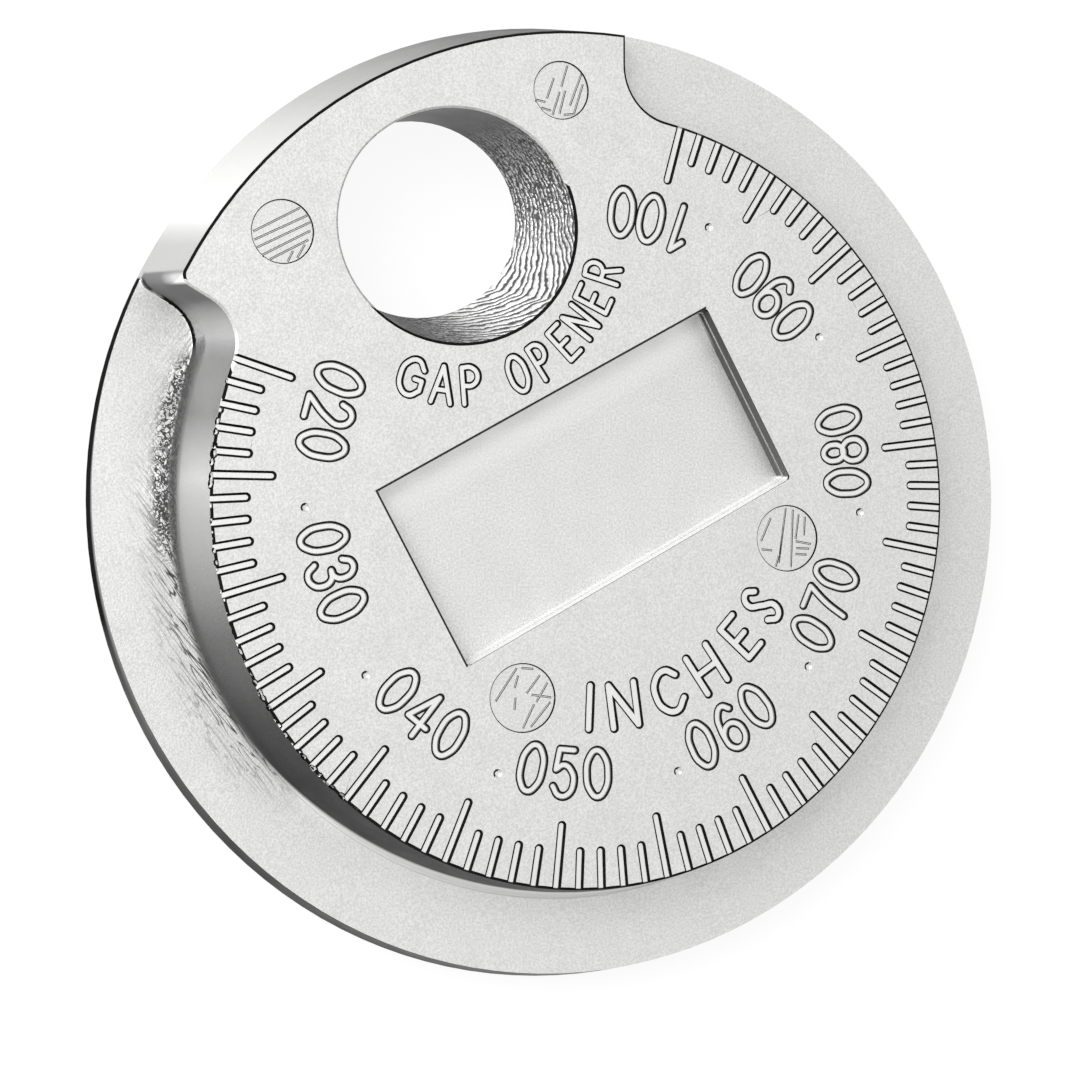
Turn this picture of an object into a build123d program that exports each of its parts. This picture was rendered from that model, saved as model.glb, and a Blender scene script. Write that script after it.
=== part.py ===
from build123d import *
import math
import os

# Spark plug gap gauge: one die-cast zinc disc, about the size of a large coin.
# A raised hub is ringed by a thin flange whose top climbs in a helix from .020 to .100 in.
# The flange stops at a full-height sector, which holds the tapered hole that opens a gap.
# Frame: millimetres, origin at the centre of the flat back face, +Z out of the inch face,
# +Y from the centre towards the sector.

# Disc
height = 3.8
face_radius = 15.85
rim_draft = 10.8
hub_radius = 13.2
hub_draft = 10.8
face_edge = 0.07
back_edge = 0.15
root_radius = 0.15

# Ramp: its height rises evenly with the angle round the centre of the dial
inch = 25.4
gap_step = 0.001 * inch
thin_gap = 0.020 * inch
thick_gap = 0.100 * inch
thick_angle = 74.8
step_angle = 3.4067
dial_centre_y = 0.58
ramp_overrun = 5

# Sector: a straight wall at the thick end of the flange, a slanted one at the thin end
step_wall_x = 1.28
notch_wall_angle = 150.0
notch_wall_offset = 1.02
sector_draft = 2.0
step_radius = 1.9
notch_radius = 1.65
corner_radius = 0.4

# Oval hole, narrower and nearer the rim at the back: direction, and centre's distance from the rim
hole_angle = 117.4
hole_inset = 5.59
hole_half_x = 4.17
hole_half_y = 3.93
hole_back_inset = 4.92
hole_back_half_x = 3.65
hole_back_half_y = 3.39

# Bare pocket in the middle of the face, with a narrow ledge half way down its walls
pocket_x = -0.1
pocket_y = 0.5
pocket_length = 13.4
pocket_width = 6.6
pocket_turn = 28.3
pocket_corner = 0.12
pocket_draft = 3.0
pocket_ledge = 0.05
pocket_ledge_depth = 0.42
pocket_depth = 0.8

# Graduations on the face, one for each thousandth of an inch, open at the hub's edge
mark_width = 0.26
mark_depth = 0.08
mark_draft = 30.0
mark_circle_y = 0.12
short_mark_radius = 11.95
long_mark_radius = 11.1
marks_per_long = 5

# Graduations on the back, one for each tenth of a millimetre, inside the rim
metric_thin = 0.5
metric_thick = 2.5
metric_step = 0.1
metric_outer_radius = 15.9
metric_short_radius = 14.6
metric_long_radius = 13.8

# Shallow round marks of the ejector pins: two in the sector at one distance from the rim,
# by direction and radius, and two on the hub, by direction, distance from centre and radius
pin_mark_depth = 0.05
sector_pin_inset = 2.0
sector_pins = [(141.1, 1.03), (94.4, 0.96)]
hub_pins = [(-10.3, 7.36, 1.12), (-110.6, 7.13, 1.14)]

mark_count = round((thick_gap - thin_gap) / gap_step)
clear = 0.5
reach = 2 * face_radius + height
tolerance = 0.01
face_plane = Plane.XY.offset(height)
back_plane = Plane.XY
dial_axis = Axis((0, dial_centre_y, 0), (0, 0, 1))


def direction(angle):
    """Unit vector in plan at an angle in degrees from +X."""
    return Vector(math.cos(math.radians(angle)), math.sin(math.radians(angle)))


def gap_angle(gap):
    """Direction from the dial's centre in which the flange is as thick as the gap."""
    return thick_angle - (thick_gap - gap) / gap_step * step_angle


def drafted_radius(radius, draft, z):
    """Radius at one height of a round wall that has the given radius at the face."""
    return radius + (height - z) * math.tan(math.radians(draft))


def frustum(radius, draft):
    """A round block from back to face, wider at the back by its draft."""
    foot = drafted_radius(radius, draft, 0)
    return Cone(foot, radius, height, align=(Align.CENTER, Align.CENTER, Align.MIN))


def sector_block():
    """The wedge between the straight wall and the notch wall, run out past the rim."""
    along = direction(notch_wall_angle)
    across = direction(notch_wall_angle - 90)
    apex = Vector(step_wall_x, -(notch_wall_offset + across.X * step_wall_x) / across.Y)
    step_end = apex + Vector(0, reach)
    notch_end = apex + along * reach
    outline = Polygon(apex, step_end, step_end + along * reach, notch_end, align=None)
    return extrude(face_plane * outline, -height, taper=-sector_draft)


def raised_form():
    """Hub and sector together, with the corners between them rounded."""
    form = frustum(hub_radius, hub_draft) + sector_block()
    form = fillet(inner_corners(form)[-1], step_radius)
    return fillet(inner_corners(form)[0], notch_radius)


def inner_corners(form):
    """The upright edges where the sector's walls meet the hub, from low X to high X."""
    def upright_on_hub(edge):
        middle = edge @ 0.5
        hub = drafted_radius(hub_radius, hub_draft, middle.Z)
        on_hub = abs(math.hypot(middle.X, middle.Y) - hub) < tolerance
        return on_hub and abs((edge @ 0).Z - (edge @ 1).Z) > height / 2 and middle.Y > 0
    return form.edges().filter_by(upright_on_hub).sort_by(Axis.X)


def above_ramp():
    """All the space over the helical top of the flange, from inside one wall to the other."""
    steps = mark_count + 2 * ramp_overrun
    turn = steps * step_angle
    rise = steps * gap_step
    low_end = (0, dial_centre_y, thin_gap - ramp_overrun * gap_step)
    rails = [
        Edge.make_helix(rise * 360 / turn, rise, radius, center=low_end)
        for radius in (hub_radius - notch_radius, reach)
    ]
    ramp = Face.make_surface_from_curves(rails[0], rails[1])
    ramp = ramp.rotate(dial_axis, thick_angle + ramp_overrun * step_angle - turn)
    return Solid.extrude(ramp, Vector(0, 0, height))


def on_rim(edge):
    """True for an edge that lies on the drafted wall of the rim."""
    middle = edge @ 0.5
    rim = drafted_radius(face_radius, rim_draft, middle.Z)
    return abs(math.hypot(middle.X, middle.Y) - rim) < tolerance


def notch_corner(shape):
    """The steep edge where the notch's wall leaves the rim."""
    rim_edges = shape.edges().filter_by(on_rim)
    upright = rim_edges.filter_by(lambda e: abs((e % 0.5).Z) > 0.9)
    return upright.filter_by(lambda e: (e @ 0.5).Z > height / 2).sort_by(Axis.X)[0]


def ramp_edges(shape):
    """The edges of the flange's helical top."""
    return shape.faces().filter_by(GeomType.BSPLINE).sort_by(SortBy.AREA)[-1].edges()


def casting():
    """The bare casting: the disc cut down to the ramp all round the hub and the sector."""
    shape = frustum(face_radius, rim_draft) - (above_ramp() - raised_form())
    shape = fillet(notch_corner(shape), corner_radius)
    return fillet(ramp_edges(shape).filter_by(lambda e: not on_rim(e)), root_radius)


def opener_section(z):
    """Oval section of the hole at one height, on straight lines between face and back."""
    up = z / height
    half_x = hole_back_half_x + up * (hole_half_x - hole_back_half_x)
    half_y = hole_back_half_y + up * (hole_half_y - hole_back_half_y)
    inset = hole_back_inset + up * (hole_inset - hole_back_inset)
    centre = direction(hole_angle) * (face_radius - inset)
    return Pos(centre.X, centre.Y, z) * Ellipse(half_x, half_y)


def opener_hole():
    """The leaning, tapered hole, run past both faces."""
    return loft([opener_section(-clear), opener_section(height + clear)])


def pocket():
    """The stepped pocket, as two drafted blocks."""
    place = Pos(pocket_x, pocket_y) * Rot(0, 0, pocket_turn)
    draft = math.tan(math.radians(pocket_draft))
    inset = 2 * (pocket_ledge_depth * draft + pocket_ledge)
    mouth = RectangleRounded(pocket_length, pocket_width, pocket_corner)
    inner = RectangleRounded(pocket_length - inset, pocket_width - inset, pocket_corner)
    upper = extrude(face_plane * place * mouth, -pocket_ledge_depth, taper=pocket_draft)
    ledge_plane = face_plane.offset(-pocket_ledge_depth)
    lower_depth = pocket_depth - pocket_ledge_depth
    lower = extrude(ledge_plane * place * inner, -lower_depth, taper=pocket_draft)
    return upper + lower


def groove(plane, angle, inner, outer, depth):
    """One graduation, radial to the dial's centre and narrower at its bottom."""
    middle = direction(angle) * (inner + outer) / 2 + Vector(0, dial_centre_y)
    slot = Pos(middle) * Rot(0, 0, angle) * Rectangle(outer - inner, mark_width)
    return extrude(plane * slot, depth, taper=mark_draft)


def dial_distance(angle, centre_y, radius):
    """Distance from the dial's centre to a circle about a point on the Y axis."""
    offset = dial_centre_y - centre_y
    along = offset * direction(angle).Y
    return math.sqrt(radius**2 - offset**2 + along**2) - along


def inch_marks():
    """The graduations of the face, which run out through the hub's edge."""
    marks = []
    for number in range(mark_count + 1):
        angle = thick_angle - number * step_angle
        tip_radius = short_mark_radius if number % marks_per_long else long_mark_radius
        tip = dial_distance(angle, mark_circle_y, tip_radius)
        end = dial_distance(angle, 0, hub_radius) + clear + mark_width
        marks.append(groove(face_plane, angle, tip, end, -mark_depth))
    return marks


def metric_marks():
    """The graduations of the back, each under the flange's own thickness in millimetres."""
    marks = []
    for number in range(round((metric_thick - metric_thin) / metric_step) + 1):
        angle = gap_angle(metric_thin + number * metric_step)
        tip_radius = metric_short_radius if number % marks_per_long else metric_long_radius
        tip = dial_distance(angle, 0, tip_radius)
        end = dial_distance(angle, 0, metric_outer_radius)
        marks.append(groove(back_plane, angle, tip, end, mark_depth))
    return marks


def pin_mark_disks():
    """The ejector pins' shallow round prints."""
    pins = [(angle, face_radius - sector_pin_inset, radius) for angle, radius in sector_pins]
    return [
        face_plane * Pos(direction(angle) * distance) * Cylinder(radius, 2 * pin_mark_depth)
        for angle, distance, radius in pins + hub_pins
    ]


def gauge():
    """The finished gauge as one solid."""
    shape = casting()
    shape = chamfer(shape.faces().sort_by(Axis.Z)[0].edges(), back_edge)
    shape = shape - opener_hole()
    shape = chamfer(shape.faces().sort_by(Axis.Z)[-1].edges(), face_edge)
    shape = shape - pocket()
    return shape - inch_marks() - metric_marks() - pin_mark_disks()


disc = gauge()
disc.label = "gauge_disc"

os.makedirs("parts", exist_ok=True)
export_step(disc, "parts/gauge_disc.step")

print("flange thickness in mm:", round(thin_gap, 3), "to", round(thick_gap, 3))
print("graduations:", mark_count + 1)
print("solids:", len(disc.solids()), "volume in mm3:", round(disc.volume, 1))
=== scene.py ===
# %% [markdown]
# # A spark plug gap gauge in satin cast zinc
# The real gauge is one small die casting: a raised hub, a thin ring round it whose top climbs
# like a very shallow screw thread, and a full-height sector with a hole for bending electrodes.
# The CAD part already has those forms at their true size, so it comes in as a fixed frame.
# This lesson adds what the die and the finish add: figures, words, round-ended marks, grain.

import math

import bmesh
import bpy
from mathutils import Matrix, Vector


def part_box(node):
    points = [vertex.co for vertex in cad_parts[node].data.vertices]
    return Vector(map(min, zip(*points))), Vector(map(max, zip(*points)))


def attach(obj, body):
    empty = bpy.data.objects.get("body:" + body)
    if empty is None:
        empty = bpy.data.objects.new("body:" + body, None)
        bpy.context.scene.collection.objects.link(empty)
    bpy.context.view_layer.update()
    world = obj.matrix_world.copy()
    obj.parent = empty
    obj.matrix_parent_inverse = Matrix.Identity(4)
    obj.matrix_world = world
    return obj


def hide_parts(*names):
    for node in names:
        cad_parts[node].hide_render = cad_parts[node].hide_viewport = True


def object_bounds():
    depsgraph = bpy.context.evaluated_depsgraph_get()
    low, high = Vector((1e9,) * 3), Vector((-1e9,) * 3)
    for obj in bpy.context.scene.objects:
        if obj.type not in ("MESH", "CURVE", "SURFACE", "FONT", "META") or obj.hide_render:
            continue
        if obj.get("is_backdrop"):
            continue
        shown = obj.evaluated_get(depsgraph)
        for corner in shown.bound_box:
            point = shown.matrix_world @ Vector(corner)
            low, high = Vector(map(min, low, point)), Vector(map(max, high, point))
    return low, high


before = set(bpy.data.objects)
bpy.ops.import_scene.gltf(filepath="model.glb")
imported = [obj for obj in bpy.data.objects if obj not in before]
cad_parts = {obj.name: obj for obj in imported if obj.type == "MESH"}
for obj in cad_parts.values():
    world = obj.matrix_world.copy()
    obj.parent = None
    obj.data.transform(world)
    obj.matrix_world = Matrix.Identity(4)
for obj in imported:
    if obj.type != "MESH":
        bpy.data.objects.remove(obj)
cad_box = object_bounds()
mm = 0.001
low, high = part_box("gauge_disc")
face_z = high.z
print("casting in mm:", [round((h - l) / mm, 2) for l, h in zip(low, high)])

# %% [markdown]
# ## The casting
# A CAD node arrives as loose triangles. A copy of it is merged into one closed skin, because
# the tools that cut the marks need to know what is inside the metal and what is outside.
# Modelling the disc again by hand would risk its sizes; the copy keeps every one of them.

# %% Copy the node's mesh and close its skin
weld_distance = 0.0002 * mm


def linked(name, data):
    """An object with this data, linked to the scene."""
    made = bpy.data.objects.new(name, data)
    bpy.context.scene.collection.objects.link(made)
    return made


def finished_mesh(thing):
    """The mesh of an object, with its curves swept and its modifiers worked out."""
    bpy.context.view_layer.update()
    seen = thing.evaluated_get(bpy.context.evaluated_depsgraph_get())
    return bpy.data.meshes.new_from_object(seen)


def closed_copy(node, name):
    """A piece with the CAD node's shape, as one closed mesh."""
    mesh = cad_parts[node].data.copy()
    mesh.name = name
    piece = linked(name, mesh)
    shape = bmesh.new()
    shape.from_mesh(mesh)
    bmesh.ops.remove_doubles(shape, verts=shape.verts, dist=weld_distance)
    open_edges = sum(1 for edge in shape.edges if not edge.is_manifold)
    mesh.clear_geometry()
    shape.to_mesh(mesh)
    shape.free()
    for stored in [a.name for a in mesh.attributes if a.name == "custom_normal"]:
        mesh.attributes.remove(mesh.attributes[stored])
    print(name, "faces:", len(mesh.polygons), "open edges:", open_edges)
    return piece


gauge = closed_copy("gauge_disc", "gauge")

# %% [markdown]
# ## The engraver's tool
# The figures in the die were cut by a small tapered cutter that follows the middle line of each
# stroke, so every stroke has one width, sloping walls, a flat bottom and round ends. The same
# can be done here: a curve is the middle line, a small closed profile is the cutter's outline,
# and the curve sweeps it. A turned nose closes each open end. Text objects could give letters
# faster, but their strokes swell and end square, which a cutter can't do.

# %% Outline of a cutter, as half-widths at heights above and below the face
run_out = 0.12 * mm
nose_sides = 14


def cutter(half_width, depth, floor_half):
    """Half outline of a cutter from its flat bottom up: (half-width, height) pairs."""
    shoulder = (half_width * 0.4 + floor_half * 0.6, -depth * 0.72)
    flare = (half_width - shoulder[0]) / -shoulder[1] * run_out
    return [(floor_half, -depth), shoulder, (half_width, 0), (half_width + flare, run_out)]


def profile_curve(outline):
    """The closed profile that the curves sweep."""
    points = outline + [(-half, height) for half, height in reversed(outline)]
    curve = bpy.data.curves.new("cutter_profile", "CURVE")
    curve.dimensions = "2D"
    spline = curve.splines.new("POLY")
    spline.points.add(len(points) - 1)
    for point, (across, up) in zip(spline.points, points):
        point.co = (across, up, 0, 1)
    spline.use_cyclic_u = True
    return linked("cutter_profile", curve)


# %% Sweep a cutter along middle lines, and turn its nose for the open ends
def cutter_object(shape, name):
    """Merges a mesh under construction, turns its faces outwards and makes it an object."""
    bmesh.ops.remove_doubles(shape, verts=shape.verts, dist=weld_distance)
    bmesh.ops.recalc_face_normals(shape, faces=shape.faces)
    mesh = bpy.data.meshes.new(name)
    shape.to_mesh(mesh)
    shape.free()
    return linked(name, mesh)


def swept(paths, outline, place, name):
    """Paths are (points, closed) pairs in the plane of the face; place puts that plane."""
    curve = bpy.data.curves.new(name, "CURVE")
    curve.dimensions = "2D"
    curve.fill_mode = "NONE"
    curve.resolution_u = 5
    for points, closed in paths:
        spline = curve.splines.new("BEZIER")
        spline.bezier_points.add(len(points) - 1)
        for knot, point in zip(spline.bezier_points, points):
            knot.co = (point[0], point[1], 0)
            kind = "AUTO" if len(points) > 2 else "VECTOR"
            knot.handle_left_type = kind
            knot.handle_right_type = kind
        spline.use_cyclic_u = closed
        spline.resolution_u = 5 if len(points) > 2 else 1
    profile = profile_curve(outline)
    curve.bevel_mode = "OBJECT"
    curve.bevel_object = profile
    curve.use_fill_caps = True
    stroke = linked(name, curve)
    mesh = finished_mesh(stroke)
    mesh.transform(place)
    shape = bmesh.new()
    shape.from_mesh(mesh)
    bpy.data.objects.remove(stroke)
    bpy.data.objects.remove(profile)
    return cutter_object(shape, name)


def noses(spots, outline, place, name, sides=nose_sides):
    """The turned end of the cutter, set down at each spot."""
    shape = bmesh.new()
    for spot in spots:
        rim = [shape.verts.new((half, 0, height)) for half, height in outline]
        rim = [shape.verts.new((0, 0, outline[0][1]))] + rim
        rim.append(shape.verts.new((0, 0, outline[-1][1])))
        edges = [shape.edges.new(pair) for pair in zip(rim, rim[1:])]
        turned = bmesh.ops.spin(
            shape, geom=rim + edges, axis=(0, 0, 1), cent=(0, 0, 0), dvec=(0, 0, 0),
            angle=math.tau, steps=sides, use_merge=True, use_duplicate=False,
        )
        new = [v for v in shape.verts if v.tag is False]
        bmesh.ops.translate(shape, verts=new, vec=(spot[0], spot[1], 0))
        for vertex in shape.verts:
            vertex.tag = True
    shape.transform(place)
    return cutter_object(shape, name)


# %% Cut with finished cutters
def cut(piece, cutters):
    """Takes the cutters out of the piece one after another, and removes them."""
    before = len(piece.data.polygons)
    for tool in cutters:
        step = piece.modifiers.new(tool.name, "BOOLEAN")
        step.operation = "DIFFERENCE"
        step.solver = "MANIFOLD"
        step.object = tool
    cut_mesh = finished_mesh(piece)
    piece.modifiers.clear()
    piece.data = cut_mesh
    for tool in cutters:
        bpy.data.objects.remove(tool)
    print("cut", len(cutters), "cutters:", before, "->", len(cut_mesh.polygons), "faces")


on_face = Matrix.Translation((0, 0, face_z))
on_back = Matrix.Rotation(math.pi, 4, "Y")

# %% [markdown]
# ## The graduations
# Eighty-one marks divide the dial, one for each thousandth of an inch, and each fifth is longer.
# The CAD part has them as plain square-ended slots. On the real gauge their inner ends are
# round, so the same lines are cut once more, slightly wider and past the square ends.

# %% Where the marks run
mark_step = 3.4067
first_mark = 74.8
mark_count = 80
dial_centre = Vector((0, 0.58 * mm))
tip_centre = Vector((0, 0.12 * mm))
hub_radius = 13.2 * mm
short_tip, long_tip = 11.95 * mm, 11.1 * mm
mark_tool = cutter(0.15 * mm, 0.085 * mm, 0.082 * mm)
tip_set_back = 0.07 * mm


def heading(angle):
    """Unit vector at an angle in degrees from +X."""
    return Vector((math.cos(math.radians(angle)), math.sin(math.radians(angle))))


def reach_circle(start, along, centre, radius):
    """The point where a line from start meets a circle."""
    offset = start - centre
    half = offset.dot(along)
    return start + along * (math.sqrt(radius**2 - offset.dot(offset) + half**2) - half)


mark_lines = []
for number in range(mark_count + 1):
    along = heading(first_mark - number * mark_step)
    tip = reach_circle(dial_centre, along, tip_centre, short_tip if number % 5 else long_tip)
    end = reach_circle(dial_centre, along, Vector((0, 0)), hub_radius)
    mark_lines.append(([tip + along * tip_set_back, end + along * 0.6 * mm], False))
mark_cutters = [
    swept(mark_lines, mark_tool, on_face, "mark_lines"),
    noses([line[0][0] for line in mark_lines], mark_tool, on_face, "mark_noses"),
]
print("marks:", len(mark_lines))

# %% Cut the marks
cut(gauge, mark_cutters)

# %% [markdown]
# ## Figures and words
# Each figure is drawn as the middle lines a cutter would follow, in a box from -1 to 1 both ways.
# The lines of one figure may cross, and cutters that overlap confuse one another, so all first
# lines go into one pass, all second lines into the next, as an engraver would do them.

# %% The middle lines of the figures and letters
def oval(x, y, half_x, half_y, knots=8):
    """A closed oval line."""
    turns = [math.tau * knot / knots for knot in range(knots)]
    return [(x + half_x * math.sin(turn), y + half_y * math.cos(turn)) for turn in turns], True


def line(*points):
    """An open line: straight through two points, smooth through more."""
    return list(points), False


def turned(strokes):
    """The same lines, turned upside down."""
    return [([(-x, -y) for x, y in points], closed) for points, closed in strokes]


six = [
    line((0.78, 0.74), (0.2, 1), (-0.5, 0.76), (-0.88, 0.1), (-0.92, -0.42)),
    oval(0.02, -0.42, 0.94, 0.58),
]
bowl = line((-0.9, 1), (0.3, 0.96), (0.9, 0.5), (0.3, 0.02), (-0.9, 0))
glyphs = {
    "0": [oval(0, 0, 1, 1)],
    "1": [line((0.15, 1), (0.15, -1)), line((0.15, 1), (-0.7, 0.5))],
    "2": [
        line((-0.9, 0.5), (-0.5, 0.92), (0.2, 0.98), (0.85, 0.55), (0.55, 0), (-0.9, -1)),
        line((-0.9, -1), (0.95, -1)),
    ],
    "3": [
        line((-0.8, 0.62), (-0.35, 0.98), (0.35, 0.95), (0.76, 0.5), (0.4, 0.1), (-0.15, 0.04)),
        line((-0.15, 0.04), (0.6, -0.05), (0.95, -0.5), (0.5, -0.93), (-0.35, -0.98), (-0.95, -0.6)),
    ],
    "4": [
        line((0.35, 1), (-1, -0.4)),
        line((-1, -0.4), (1, -0.4)),
        line((0.35, 1), (0.35, -1)),
    ],
    "5": [
        line((0.75, 1), (-0.6, 1)),
        line((-0.6, 1), (-0.8, 0.12)),
        line(
            (-0.8, 0.12), (-0.05, 0.34), (0.65, 0.1), (0.92, -0.38), (0.5, -0.9),
            (-0.3, -0.98), (-0.95, -0.6),
        ),
    ],
    "6": six,
    "7": [line((-0.95, 1), (0.95, 1)), line((0.95, 1), (0.2, 0), (-0.2, -1))],
    "8": [oval(0, 0.5, 0.72, 0.5), oval(0, -0.46, 0.95, 0.54)],
    "9": turned(six),
    "I": [line((0, 1), (0, -1))],
    "N": [line((-1, -1), (-1, 1)), line((-1, 1), (1, -1)), line((1, -1), (1, 1))],
    "C": [
        line((0.85, 0.62), (0.15, 1), (-0.75, 0.65), (-1, 0), (-0.75, -0.65), (0.1, -1), (0.9, -0.55)),
    ],
    "H": [line((-1, 1), (-1, -1)), line((1, 1), (1, -1)), line((-1, 0), (1, 0))],
    "E": [
        line((-1, 1), (-1, -1)),
        line((-1, 1), (1, 1)),
        line((-1, -1), (1, -1)),
        line((-1, 0), (0.6, 0)),
    ],
    "S": [line((0.85, 0.65), (0.1, 1), (-0.8, 0.6), (0, 0), (0.85, -0.55), (0, -1), (-0.9, -0.62))],
    "G": [
        line((0.85, 0.55), (0.15, 1), (-0.75, 0.65), (-1, 0), (-0.7, -0.75), (0.1, -1), (0.9, -0.6)),
        line((0.9, -0.6), (0.9, -0.05)),
        line((0.9, -0.05), (0.25, -0.05)),
    ],
    "A": [line((0, 1), (-1, -1)), line((0, 1), (1, -1)), line((-0.6, -0.3), (0.6, -0.3))],
    "P": [line((-0.9, 1), (-0.9, -1)), bowl],
    "O": [oval(0, 0, 1, 1)],
    "R": [line((-0.9, 1), (-0.9, -1)), bowl, line((0.1, 0), (0.95, -1))],
    "M": [
        line((-1, -1), (-1, 1)),
        line((-1, 1), (0, -0.4)),
        line((0, -0.4), (1, 1)),
        line((1, 1), (1, -1)),
    ],
}
print("drawn figures and letters:", len(glyphs))


# %% Set figures along an arc, tops towards its centre
class Passes:
    """Collects the strokes of many figures, one list for each pass of the cutter."""

    def __init__(self):
        self.lines = [[] for _ in range(4)]
        self.ends = []

    def figure(self, letter, centre, radius, angle, half_x, half_y):
        """Adds one figure on an arc; its top faces the arc's centre."""
        up = -heading(angle)
        across = Vector((up.y, -up.x))
        middle = centre - up * radius
        for number, (points, closed) in enumerate(glyphs[letter]):
            placed = [middle + across * x * half_x + up * y * half_y for x, y in points]
            self.lines[number].append((placed, closed))
            if not closed:
                self.add_end(placed[0])
                self.add_end(placed[-1])

    def add_end(self, spot):
        """A nose is set down once where two lines share an end."""
        if all((spot - other).length > 0.05 * mm for other in self.ends):
            self.ends.append(spot)

    def cutters(self, outline, place, name):
        """All the cutters for the collected figures."""
        made = [
            swept(lines, outline, place, f"{name}_{number}")
            for number, lines in enumerate(self.lines)
            if lines
        ]
        return made + [noses(self.ends, outline, place, f"{name}_noses")]


# %% [markdown]
# The nine numbers name every tenth mark in thousandths of an inch. The die maker set them by
# eye, so they sit a degree or two off their marks, and their arc is centred a little above the
# hub's centre. Their places are measured, because an even spacing would look too perfect.

# %% The numbers of the dial
number_centre = Vector((0, 0.28 * mm))
number_radius = 9.56 * mm
number_half_x, number_half_y = 0.39 * mm, 0.79 * mm
figure_tool = cutter(0.145 * mm, 0.07 * mm, 0.072 * mm)
dot_drop = 0.5 * mm
dot_reach, dot_shade = 0.25 * mm, -30
dial_numbers = {
    "100": (76.8, 1.07), "090": (45.1, 1.1), "080": (8.7, 1.1),
    "070": (-24.2, 1.11), "060": (-57.9, 1.22), "050": (-96.1, 1.19),
    "040": (-129.0, 1.18), "030": (-163.5, 1.14), "020": (164.5, 1.12),
}
numbers, dots = Passes(), []
for text, (angle, pitch) in dial_numbers.items():
    turn = math.degrees(pitch * mm / number_radius)
    for place, letter in enumerate(text):
        numbers.figure(
            letter, number_centre, number_radius, angle + (place - 1) * turn,
            number_half_x, number_half_y,
        )
    if text != "020":
        dot = number_centre + heading(angle - 1.92 * turn) * (number_radius + dot_drop)
        numbers.add_end(dot)
        dots.append(dot)
cut(gauge, numbers.cutters(figure_tool, on_face, "numbers"))

# %% [markdown]
# Two words are cast in the face: the unit of the dial, and what the hole is for. They are wider
# than the numbers and follow arcs of their own, one round the hub and one round the hole.

# %% The words on the face
word_tool = cutter(0.155 * mm, 0.07 * mm, 0.095 * mm)
small_word_tool = cutter(0.125 * mm, 0.065 * mm, 0.07 * mm)
inches_centre, inches_radius = Vector((0.2 * mm, 0.1 * mm)), 7.14 * mm
inches = [
    ("I", -92.4, 0.4), ("N", -82.4, 0.46), ("C", -68.6, 0.5),
    ("H", -55.8, 0.44), ("E", -42.2, 0.34), ("S", -31.6, 0.33),
]
hole_centre, opener_radius = Vector((-4.72 * mm, 9.11 * mm)), 5.34 * mm
opener = [
    ("G", -107.8, 0.41), ("A", -96.3, 0.34), ("P", -85.5, 0.3),
    ("O", -66.9, 0.3), ("P", -56.5, 0.26), ("E", -45.4, 0.25),
    ("N", -35.6, 0.28), ("E", -25.6, 0.25), ("R", -15.3, 0.28),
]
words = Passes()
for letter, angle, half_x in inches:
    words.figure(letter, inches_centre, inches_radius, angle, half_x * mm, 0.73 * mm)
small_words = Passes()
for letter, angle, half_x in opener:
    small_words.figure(letter, hole_centre, opener_radius, angle, half_x * mm, 0.61 * mm)
cut(gauge, words.cutters(word_tool, on_face, "inches"))
cut(gauge, small_words.cutters(small_word_tool, on_face, "opener"))

# %% [markdown]
# The back carries the same scale in millimetres, so that the gauge serves both units. Its
# figures stand inside the long marks. The back is the face turned over about the Y axis, so
# the figures are set out as seen from behind and turned over with it.

# %% The numbers of the back
gap_step = 0.0254
back_radius = 12.2 * mm


def back_angle(gap):
    """Direction, seen from behind, in which the ring is as thick as the gap."""
    return 180 - (first_mark - (2.54 - gap) / gap_step * mark_step)


back_numbers = Passes()
for gap in (0.5, 1.0, 1.5, 2.0, 2.5):
    text = f"{gap:.1f}"
    spots = [(text[0], 0.62), (text[2], -0.62)]
    for letter, shift in spots:
        turn = math.degrees(shift * mm / back_radius)
        back_numbers.figure(
            letter, Vector((0, 0)), back_radius, back_angle(gap) - turn, 0.36 * mm, 0.7 * mm
        )
    back_numbers.add_end(heading(back_angle(gap)) * (back_radius + 0.66 * mm))
for letter, shift in (("M", -4.2), ("M", 4.2)):
    back_numbers.figure(letter, Vector((0, 0)), 8.2 * mm, -90 + shift * 1.6, 0.5 * mm, 0.73 * mm)
cut(gauge, back_numbers.cutters(figure_tool, on_back, "back_numbers"))

# %% [markdown]
# ## The ejector pins' prints
# Four pins push the casting out of the die, and each leaves a shallow round print. The pins'
# ends are filed by hand, so the prints show the file's strokes. The prints are in the CAD part;
# here their edges get a slope that catches the light, and a needle draws the strokes in them.

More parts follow.
